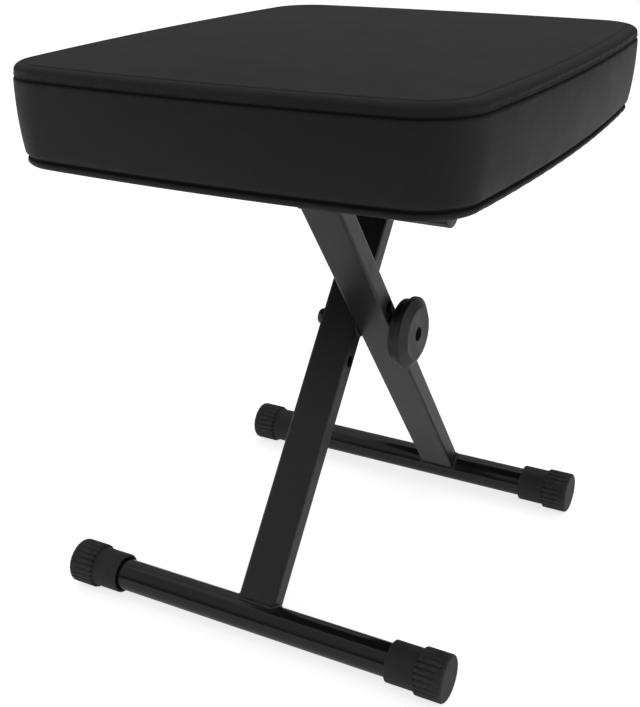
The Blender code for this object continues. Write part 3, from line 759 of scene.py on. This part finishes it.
def cushion_grid(form, rows):
    """(points, quads, held) of the closed cover: a bottom patch, the rows and a top patch."""
    rings = np.stack([form.ring(inset, height) for inset, height, _ in rows])
    held = np.repeat([firm for _, _, firm in rows], form.columns)
    wall = (rings.reshape(-1, 3), grid_quads(len(rows), form.columns))
    bottom = form.patch(rings[0], 0.0)
    top = form.patch(rings[-1], form.top - rings[-1, 0, 2])
    points, quads = joined([wall, bottom, top])
    held = np.concatenate((held, np.ones(len(bottom[0])), np.zeros(len(top[0]))))
    return points, quads, held


def swell(piece, limit, frames=20):
    """Fills the cover with cloth pressure, and keeps each point within its limit of its start.

    A point moves by limit * tanh(distance / limit) along the way that the cloth took it.
    """
    scene = bpy.context.scene
    held = numbers_of(piece.data.attributes["held"].data, "value")
    group = piece.vertex_groups.new(name="held")
    levels = np.round(held * 20) / 20
    for level in np.unique(levels[levels > 0]):
        group.add(np.flatnonzero(levels == level).tolist(), float(level), "REPLACE")
    before = places(piece.data)
    cloth = piece.modifiers.new("cloth", "CLOTH")
    fabric = cloth.settings
    fabric.quality = 5
    fabric.mass = 0.3
    fabric.tension_stiffness = 30
    fabric.compression_stiffness = 30
    fabric.shear_stiffness = 15
    fabric.bending_stiffness = 2
    fabric.use_pressure = True
    fabric.uniform_pressure_force = settings().cushion.pressure
    fabric.vertex_group_mass = "held"
    fabric.effector_weights.gravity = 0
    cloth.collision_settings.use_collision = False
    cloth.point_cache.frame_start, cloth.point_cache.frame_end = 1, frames
    for number in range(1, frames + 1):
        scene.frame_set(number)
    graph = bpy.context.evaluated_depsgraph_get()
    bloated = piece.evaluated_get(graph)
    move = places(bloated.to_mesh()) - before
    bloated.to_mesh_clear()
    piece.modifiers.clear()
    piece.vertex_groups.clear()
    scene.frame_set(1)
    far = np.linalg.norm(move, axis=1)
    kept = limit * np.tanh(far / limit)
    move *= (kept / np.maximum(far, 1e-9))[:, None]
    reshaped(piece.data, before + move)
    print(f"cover swelled by {far.max() * 1000:.1f} mm, kept to {kept.max() * 1000:.1f} mm")


def pucker(piece, depth=0.00028):
    """Gathers the cover beside its seams, as depth * window(z) * (sin(kx) + sin(ky)) inwards."""
    mesh = piece.data
    sizes = settings().cushion
    points = places(mesh)
    normals = numbers_of(mesh.vertex_normals, "vector", 3)
    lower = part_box("seat_cover")[0][2] + sizes.lip_height
    window = np.zeros(len(points))
    for seam, reach in ((lower, 0.008), (lower + sizes.band_height, 0.006)):
        off = np.abs(points[:, 2] - seam)
        window += smoothstep(0.0010, 0.0030, off) * (1 - smoothstep(0.0030, reach, off))
    wave = sum(
        share_of * np.sin(2 * math.pi * points[:, axis] / pitch + turn)
        for axis, pitch, turn, share_of in (
            (0, 0.0091, 0.0, 0.35), (1, 0.0091, 0.7, 0.35),
            (0, 0.0234, 1.9, 0.5), (1, 0.0234, 2.6, 0.5),
        )
    )
    flat = np.abs(normals[:, 2]) < 0.8
    reshaped(mesh, points + normals * (depth * window * wave * flat)[:, None])


def make_cushion():
    """The padded seat in its sewn cover: a closed grid, swelled and then subdivided once."""
    sizes = settings().cushion
    form = SeatForm(7, 50, 64)
    points, quads, held = cushion_grid(form, seat_rows(form))
    deep = form.radius - np.linalg.norm(
        np.maximum(np.abs(points[:, :2] - form.middle) - np.abs(form.centres).max(0), 0), axis=1
    )
    lower = form.base + sizes.lip_height
    # The seam mask marks the seam grooves near the outline, where the leatherette paints shade into the
    # cover's colour.
    seam = np.zeros(len(points))
    for level in (lower, lower + sizes.band_height):
        seam += (1 - smoothstep(0.0006, 0.0022, np.abs(points[:, 2] - level))) * (deep < 0.012)
    points = form.bowed(points)
    piece = new_piece("seat_cushion", points, quads, sharp=math.pi, held=held, seam=seam)
    high = places(piece.data)[:, 2] > form.top - 0.006
    swell(piece, np.where(high, sizes.top_give, sizes.band_give))
    smooth = piece.modifiers.new("smooth", "SUBSURF")
    smooth.levels = smooth.render_levels = 1
    baked(piece)
    pucker(piece)
    placed(piece, "seat", "black_leatherette", "seat_cover", "seat_foam")


# Steel and moulded pieces


class LegLine:
    """A frame's leg, from its foot tube's axis up to its seat tube's."""

    def __init__(self, name):
        self.node = name + "_leg"
        foot, seat = middle_of(name + "_foot_tube"), middle_of(name + "_seat_tube")
        rise = (seat - foot) * (0, 1, 1)
        self.reach = np.linalg.norm(rise)
        self.along, self.across = unit(rise), unit(np.array((0, -rise[2], rise[1])))
        self.foot = foot * (0, 1, 1) + (middle_of(self.node)[0], 0, 0)
        self.radii = [size_of(name + tube)[1] / 2 for tube in ("_foot_tube", "_seat_tube")]
        depth = np.ptp(places(frame["nodes"][self.node].data) @ self.across)
        self.half = (size_of(self.node)[0] / 2, depth / 2)

    def ends(self, d, gap):
        """Where the leg meets each round tube: t = sqrt((R + gap)^2 - d^2) from its axis."""
        near, far = (np.sqrt((radius + gap) ** 2 - d ** 2) for radius in self.radii)
        return near, self.reach - far

    def at(self, flat, t):
        """The point t up the leg, at (x, d) of flat across it."""
        return self.foot + t[:, None] * self.along + self.sideways(flat)

    def sideways(self, flat):
        return flat[:, :1] * (1, 0, 0) + flat[:, 1:] * self.across


def make_leg(name):
    """A rectangular tube trimmed on its round tubes.

    Its rows run up the outside and back down the inside. The height holes are then cut.
    """
    metal = settings().metal
    line = LegLine(name)
    centres, outward = outline(line.half, metal.leg_corner, 5, 6, 10)
    rows = []
    share_up = np.concatenate(([0, 0.004], np.linspace(0.04, 0.96, 12), [0.996, 1]))
    for inset, parts in ((0, share_up), (metal.wall, share_up[::-1])):
        flat = centres + (metal.leg_corner - inset) * outward
        start, end = line.ends(flat[:, 1], CLEARANCE)
        rows += [line.at(flat, start + (end - start) * part) for part in parts]
    quads = grid_quads(len(rows), len(centres), rows_closed=True)
    leg = new_piece(line.node + "_tube", np.stack(rows), quads)
    cutter = ((-0.03, 0), (-0.03, metal.hole_radius), (0.03, metal.hole_radius), (0.03, 0))
    middle = pivot_place() * (0, 1, 1) + line.foot * (1, 0, 0)
    for step in (-1, 0, 1):
        place = middle + step * metal.hole_pitch * line.along
        hole = turned(f"{line.node}_hole_{step}", np.array(cutter), place, steps=40)
        cut = leg.modifiers.new("hole", "BOOLEAN")
        cut.object, cut.operation, cut.solver = hole, "DIFFERENCE", "EXACT"
        baked(leg)
        bpy.data.objects.remove(hole)
    leg.data.set_sharp_from_angle(angle=math.radians(40))
    flatten = leg.modifiers.new("flat", "WEIGHTED_NORMAL")
    flatten.keep_sharp = True
    baked(leg)
    placed(leg, name + "_frame", "satin_black_steel", line.node)


def weld_bead(path, out, along):
    """(points, quads) of one weld: a rippled bead swept round the leg where it meets a tube.

    The path is the leg's outer line on the tube; the bead's section is
    r (cos(a) out + sin(a) along), with r swelling and shrinking at each ripple.
    """
    ripple, around = 0.0017, 14
    step = np.linalg.norm(np.diff(path, axis=0, prepend=path[-1:]), axis=1)
    run = np.cumsum(step)
    turns = round(run[-1] / ripple)
    swing = 2 * math.pi * run / run[-1]
    radius = settings().metal.weld_radius * (
        1 + 0.13 * np.abs(np.sin(swing * turns / 2)) + 0.10 * np.sin(swing * 5 + 1) - 0.08
    )
    turn = (np.arange(around) * 2 * math.pi / around)[None, :, None]
    ring = out[:, None] * np.cos(turn) + along * np.sin(turn)
    points = path[:, None] + radius[:, None, None] * ring
    return points.reshape(-1, 3), grid_quads(len(path), around, rows_closed=True)


def make_welds(name):
    """The two weld beads of a frame, as one piece."""
    corner = settings().metal.leg_corner
    line = LegLine(name)
    centres, outward = outline(line.half, corner, 10, 76, 32)
    flat = centres + (corner + 0.0002) * outward
    beads = [
        weld_bead(line.at(flat, t), line.sideways(outward), sign * line.along)
        for t, sign in zip(line.ends(flat[:, 1], 0), (1, -1))
    ]
    piece = new_piece(name + "_welds", *joined(beads), sharp=math.pi)
    placed(piece, name + "_frame", "satin_black_steel")


def make_tube(node, body):
    """An open round tube with its ends' edges broken."""
    low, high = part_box(node)
    radius, wall = size_of(node)[1] / 2, settings().metal.wall
    corners = [
        (low[0], radius, 0.0003), (high[0], radius, 0.0003),
        (high[0], radius - wall, 0.0003), (low[0], radius - wall, 0.0003),
    ]
    profile = rounded(corners, 3, cyclic=True)
    piece = turned(node + "_round", profile, middle_of(node) * (0, 1, 1), 128, closed=True)
    placed(piece, body, "gloss_black_steel", node)


def make_plug(node, body, side):
    """A push-in plug with a domed head: side is 1 at the tubes' right ends."""
    metal = settings().metal
    low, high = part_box(node)
    radius = size_of(node)[1] / 2
    shank, depth = radius - metal.wall - CLEARANCE, high[0] - low[0]
    dome = [(0.0011 * (part ** 2), radius * part * 0.86, 0) for part in np.linspace(0, 1, 6)]
    corners = dome + [(0.0014, radius, 0.0009), (0.0022, radius, 0.0003), (0.0022, shank, 0)]
    corners += [(depth, shank, 0.0012), (depth, shank - 0.0018, 0), (depth, 0, 0)]
    centre = middle_of(node) * (0, 1, 1) + ((high[0] if side > 0 else low[0]), 0, 0)
    piece = turned(node + "_domed", rounded(corners, 4), centre, 96, -side)
    placed(piece, body, "black_plastic", node)


def make_cap(node, body, side):
    """A moulded end cap: a smooth collar, then a ribbed grip with a rounded end.

    Outside, radius = collar + rise * S((x - start) / 1 mm) - depth * groove(a) * fade(x). S is
    a smooth step that starts later in a groove, which scallops the grip's edge, and the
    groove is exp(-(u / 0.2)^2) with u the share of a rib's pitch from its middle. The ribs
    run out at different lengths towards the cap's end.
    """
    metal = settings().metal
    tube_radius = size_of(node.replace("_cap_left", "_tube").replace("_cap_right", "_tube"))[1] / 2
    low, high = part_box(node)
    full, grip = high[0] - low[0], size_of(node)[1] / 2
    collar = grip - metal.cap_rise
    bore = tube_radius + CLEARANCE
    end_wall, rebate, rebate_depth = 0.0030, 0.0011, 0.0034
    floor = full - end_wall
    inside = [(floor, 0), (floor, bore, 0.0008), (rebate_depth + 0.0002, bore, 0.0003)]
    mouth = [(rebate_depth, bore + rebate), (0, bore + rebate, 0.0003), (0, collar, 0.0008)]
    body_line = [(metal.cap_collar, collar), (metal.cap_collar + 0.004, grip), (full, grip, 0.0024)]
    line = rounded(inside + mouth + body_line + [(full, 0)], 5)
    profile = spread(line[:-1], 0.0011)
    disc = np.column_stack((np.full(6, full), np.linspace(grip - 0.0031, 0, 6)))
    profile = np.concatenate((profile, disc))

    def ribs(x, angle, radius):
        u = np.abs((angle * metal.cap_ribs / (2 * math.pi) + 0.5) % 1 - 0.5)
        groove = np.exp(-((u / 0.20) ** 2))
        begin = metal.cap_collar + 0.0016 * groove
        outer = collar + metal.cap_rise * smoothstep(begin, begin + 0.0012, x)
        fade = smoothstep(metal.cap_collar + 0.0004, metal.cap_collar + 0.0022, x)
        last = full - 0.0055 + 0.0030 * np.sin(7 * angle) * np.cos(3 * angle)
        fade = fade * (1 - 0.8 * smoothstep(last - 0.0035, last + 0.0025, x))
        outside = (radius >= collar - 1e-6) & (x >= metal.cap_collar - 1e-6)
        formed = np.where(x < full - 0.0026, outer, radius) - metal.rib_depth * groove * fade
        return np.where(outside, np.minimum(formed, radius + metal.cap_rise), radius)

    centre = middle_of(node) * (0, 1, 1) + ((low[0] if side > 0 else high[0]), 0, 0)
    piece = turned(node + "_ribbed", profile, centre, metal.cap_ribs * 12, side, ribs)
    points = places(piece.data)
    points[:, 2] = np.maximum(points[:, 2], low[2])
    reshaped(piece.data, points)
    placed(piece, body, "black_rubber", node)


def make_knob():
    """The round clamping knob: a hub, a wider rim, a bevel to its face and a recess."""
    metal = settings().metal
    low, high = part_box("clamp_knob")
    full, rim = high[0] - low[0], size_of("clamp_knob")[1] / 2
    nut = size_of("knob_nut")[1] / 2 + CLEARANCE
    pocket, floor = size_of("knob_nut")[0] + CLEARANCE, full - metal.knob_recess_depth
    hub, wide = metal.knob_hub, metal.knob_hub + metal.knob_rim
    bore = metal.hole_radius
    corners = [
        (0, nut, 0.0003), (0, metal.knob_hub_radius, 0.0012), (hub, metal.knob_hub_radius, 0.0005),
        (hub, rim, 0.0009), (wide, rim, 0.0012), (full, metal.knob_face_radius, 0.0016),
        (full, metal.knob_recess_radius, 0.0007), (floor, metal.knob_recess_radius, 0.0004),
        (floor, bore, 0.0003), (pocket, bore, 0.0002), (pocket, nut, 0.0004),
    ]
    profile = rounded(corners, 6, cyclic=True)
    centre = middle_of("clamp_knob") * (0, 1, 1) + (low[0], 0, 0)
    piece = turned("clamp_knob_round", profile, centre, 160, closed=True)
    placed(piece, "clamp_knob", "black_plastic", "clamp_knob")


def make_bolt():
    """The pivot bolt: a button head with a hexagon socket, radius = apothem / cos(a)."""
    low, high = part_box("pivot_bolt")
    full, head = high[0] - low[0], size_of("pivot_bolt")[1] / 2
    shank = settings().metal.hole_radius - CLEARANCE
    apothem, socket_floor, under_head, tip_bevel = 0.0030, 0.0030, 0.0052, 0.0009
    flat, dome_start, dome_height, edge = 0.0045, 0.0052, 0.0030, 0.0004
    dome = [
        (dome_height * (1 - math.cos(turn)),
         dome_start + (head - edge - dome_start) * math.sin(turn), 0)
        for turn in np.linspace(0, 1.45, 7)
    ]
    corners = [(socket_floor, 0), (socket_floor, apothem), (0.0001, apothem), (0, flat)]
    corners += dome + [(dome_height, head, edge), (under_head, head, edge), (under_head, shank)]
    corners += [(full, shank, tip_bevel), (full, 0)]

    def socket(x, angle, radius):
        sixth = (angle + math.pi / 6) % (math.pi / 3) - math.pi / 6
        return np.where(np.abs(radius - apothem) < 1e-7, apothem / np.cos(sixth), radius)

    centre = middle_of("pivot_bolt") * (0, 1, 1) + (low[0], 0, 0)
    piece = turned("pivot_bolt_round", rounded(corners, 3), centre, 96, shape=socket)
    placed(piece, "front_frame", "black_zinc_steel", "pivot_bolt")


def mark_edges(piece):
    """Marks where a surface bulges sharply, which is where its finish is rubbed.

    Between two neighbouring points the bend is (n1 - n2).(p1 - p2) / |p1 - p2|^2, in 1/m.
    """
    mesh = piece.data
    points = places(mesh)
    normals = numbers_of(mesh.vertex_normals, "vector", 3)
    ends = numbers_of(mesh.edges, "vertices", 2).astype(int)
    apart = points[ends[:, 0]] - points[ends[:, 1]]
    turn = normals[ends[:, 0]] - normals[ends[:, 1]]
    bend = (apart * turn).sum(1) / np.maximum((apart ** 2).sum(1), 1e-12)
    most = np.zeros(len(points))
    for end in (0, 1):
        np.maximum.at(most, ends[:, end], bend)
    marked(mesh, "edge", smoothstep(*BULGE, most))


FINISHES = {
    "black_leatherette": leatherette,
    "satin_black_steel": powder_coat,
    "gloss_black_steel": enamel,
    "black_rubber": moulded_rubber,
    "black_plastic": moulded_plastic,
    "black_zinc_steel": zinc_plate,
    "plywood": plywood,
    "black_cloth": bonded_cloth,
}


def finished(piece, slot):
    """Gives a piece the material of its slot, which is made when it is first asked for."""
    material = bpy.data.materials.get(slot + "_finish") or FINISHES[slot]()
    piece.data.materials.clear()
    piece.data.materials.append(material)


def placed(piece, body, slot, *replaced):
    """Gives a piece its finish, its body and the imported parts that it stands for."""
    mark_edges(piece)
    finished(piece, slot)
    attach(piece, body)
    if replaced:
        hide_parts(*replaced)


# Stage


def soft_box(name, place, size, power):
    """A square area light at place that faces the bench."""
    lamp = bpy.data.lights.new(name, "AREA")
    lamp.shape, lamp.size, lamp.energy = "SQUARE", size, power
    light = linked(name, lamp)
    facing = (Vector(place) - Vector(LIT_PLACE)).to_track_quat("Z", "Y").to_matrix().to_4x4()
    light.matrix_world = Matrix.Translation(place) @ facing


def studio_world(low, high, backdrop):
    """A room, dim at eye level and brighter overhead, which the camera sees as a pale backdrop."""
    world = bpy.data.worlds.new("studio")
    world.use_nodes = True
    nodes, links = world.node_tree.nodes, world.node_tree.links
    heading = nodes.new("ShaderNodeTexCoord")
    split = nodes.new("ShaderNodeSeparateXYZ")
    rise = nodes.new("ShaderNodeMapRange")
    rise.interpolation_type = "SMOOTHSTEP"
    seen = nodes.new("ShaderNodeLightPath")
    shade = nodes.new("ShaderNodeMix")
    for socket, value in (("From Min", 0.02), ("From Max", 0.55), ("To Min", low), ("To Max", high)):
        rise.inputs[socket].default_value = value
    shade.inputs["B"].default_value = backdrop
    links.new(heading.outputs["Generated"], split.inputs["Vector"])
    links.new(split.outputs["Z"], rise.inputs["Value"])
    links.new(rise.outputs["Result"], shade.inputs["A"])
    links.new(seen.outputs["Is Camera Ray"], shade.inputs["Factor"])
    links.new(shade.outputs["Result"], nodes["Background"].inputs["Strength"])
    nodes["Background"].inputs["Color"].default_value = (1, 1, 1, 1)
    bpy.context.scene.world = world


def make_stage():
    """A pale floor, three soft boxes, the room and the camera."""
    stage = settings().stage
    scene = bpy.context.scene
    mesh = bpy.data.meshes.new("floor")
    corners = [(FLOOR_HALF * x, FLOOR_HALF * y, 0) for x, y in ((-1, -1), (1, -1), (1, 1), (-1, 1))]
    mesh.from_pydata(corners, [], [(0, 1, 2, 3)])
    floor = linked("floor", mesh)
    floor.location.z = -0.0002
    paper = Shader("pale_floor", stage.floor, Roughness=0.8, Specular_IOR_Level=0.1, Emission_Strength=1.0)
    seen = paper.add("ShaderNodeLightPath", output="Is Camera Ray")
    glow = paper.mixed(seen, (stage.floor_throw,) * 3, (stage.floor_glow,) * 3)
    cloud = paper.noise(0.8, 2.0)
    tint = paper.shaded(cloud, 0.97)
    paper.ends(Base_Color=tint, Emission_Color=glow)
    mesh.materials.append(paper.material)
    soft_box("top_light", (0.2, 0.3, 2.5), 3.4, stage.top_power)
    soft_box("side_light", (2.4, 0.2, 0.9), 1.8, stage.side_power)
    soft_box("fill_light", (-2.4, -1.2, 0.5), 2.0, stage.fill_power)
    studio_world(stage.room, stage.ceiling, stage.backdrop)
    lens = bpy.data.cameras.new("camera")
    lens.lens = stage.lens
    camera = linked("camera", lens)
    turn = Matrix.Rotation(stage.azimuth, 4, "Z") @ Matrix.Rotation(math.pi / 2 - stage.pitch, 4, "X")
    camera.matrix_world = (
        Matrix.Translation(stage.camera_place) @ turn @ Matrix.Rotation(stage.roll, 4, "Z")
    )
    scene.camera = camera
    scene.view_settings.view_transform = "Standard"


# Operators


class BENCH_OT_cushion(bpy.types.Operator):
    """Sew and fill the padded seat"""

    bl_idname = "bench.cushion"
    bl_label = "Cushion"

    def execute(self, context):
        make_cushion()
        return {"FINISHED"}


class BENCH_OT_underside(bpy.types.Operator):
    """Finish the board, the dust cover, the saddles and their screws"""

    bl_idname = "bench.underside"
    bl_label = "Underside"

    def execute(self, context):
        finished(frame["nodes"]["seat_board"], "plywood")
        finished(frame["nodes"]["dust_cover"], "black_cloth")
        for kind in ("pivot", "rest"):
            for side, _ in SIDES:
                softened(f"{kind}_saddle_{side}", 0.0007, "seat", "black_plastic")
        for node in frame["nodes"]:
            if node.startswith("saddle_screw"):
                softened(node, 0.0002, "seat", "black_zinc_steel")
        return {"FINISHED"}


class BENCH_OT_legs(bpy.types.Operator):
    """Make the two rectangular legs and their welds"""

    bl_idname = "bench.legs"
    bl_label = "Legs"

    def execute(self, context):
        for name in FRAMES:
            make_leg(name)
            make_welds(name)
        return {"FINISHED"}


class BENCH_OT_tubes(bpy.types.Operator):
    """Make the foot tubes, the seat tubes and the seat tubes' plugs"""

    bl_idname = "bench.tubes"
    bl_label = "Tubes"

    def execute(self, context):
        for name in FRAMES:
            for kind in ("foot", "seat"):
                make_tube(f"{name}_{kind}_tube", name + "_frame")
            for side, sign in SIDES:
                make_plug(f"{name}_seat_tube_plug_{side}", name + "_frame", sign)
        return {"FINISHED"}


class BENCH_OT_caps(bpy.types.Operator):
    """Make the four ribbed end caps"""

    bl_idname = "bench.caps"
    bl_label = "End caps"

    def execute(self, context):
        for name in FRAMES:
            for side, sign in SIDES:
                make_cap(f"{name}_foot_cap_{side}", name + "_frame", sign)
        return {"FINISHED"}


class BENCH_OT_clamp(bpy.types.Operator):
    """Make the bolt, the washers, the nut and the knob that clamp the legs"""

    bl_idname = "bench.clamp"
    bl_label = "Clamp"

    def execute(self, context):
        make_knob()
        make_bolt()
        softened("knob_washer", 0.00025, "knob_washer", "black_zinc_steel")
        softened("knob_nut", 0.0004, "clamp_knob", "black_zinc_steel")
        softened("leg_spacer", 0.00015, "front_frame", "black_plastic")
        return {"FINISHED"}


class BENCH_OT_stage(bpy.types.Operator):
    """Set out the floor, the lights and the camera"""

    bl_idname = "bench.stage"
    bl_label = "Stage"

    def execute(self, context):
        make_stage()
        return {"FINISHED"}


class BENCH_PT_panel(bpy.types.Panel):
    """Sizes, finishes and the steps that build the bench"""

    bl_label = "Piano bench"
    bl_space_type = "VIEW_3D"
    bl_region_type = "UI"
    bl_category = "Bench"

    def draw(self, context):
        for title, group in (
            ("Cushion", settings().cushion), ("Metal", settings().metal),
            ("Finish", settings().finish), ("Stage", settings().stage),
        ):
            box = self.layout.box()
            box.label(text=title)
            for key in type(group).__annotations__:
                box.prop(group, key)
        for operator in OPERATORS:
            self.layout.operator(operator.bl_idname)


OPERATORS = (
    BENCH_OT_stage, BENCH_OT_cushion, BENCH_OT_underside, BENCH_OT_legs, BENCH_OT_tubes,
    BENCH_OT_caps, BENCH_OT_clamp,
)
CLASSES = (
    BenchCushion, BenchMetal, BenchFinish, BenchStage, BenchSettings, *OPERATORS, BENCH_PT_panel,
)


def register():
    for kind in CLASSES:
        bpy.utils.register_class(kind)
    bpy.types.Scene.piano_bench = PointerProperty(type=BenchSettings)


def unregister():
    del bpy.types.Scene.piano_bench
    for kind in reversed(CLASSES):
        bpy.utils.unregister_class(kind)


def main():
    register()
    bpy.ops.bench.stage()
    bpy.ops.bench.cushion()
    bpy.ops.bench.underside()
    bpy.ops.bench.legs()
    bpy.ops.bench.tubes()
    bpy.ops.bench.caps()
    bpy.ops.bench.clamp()


if __name__ == "__main__":
    main()
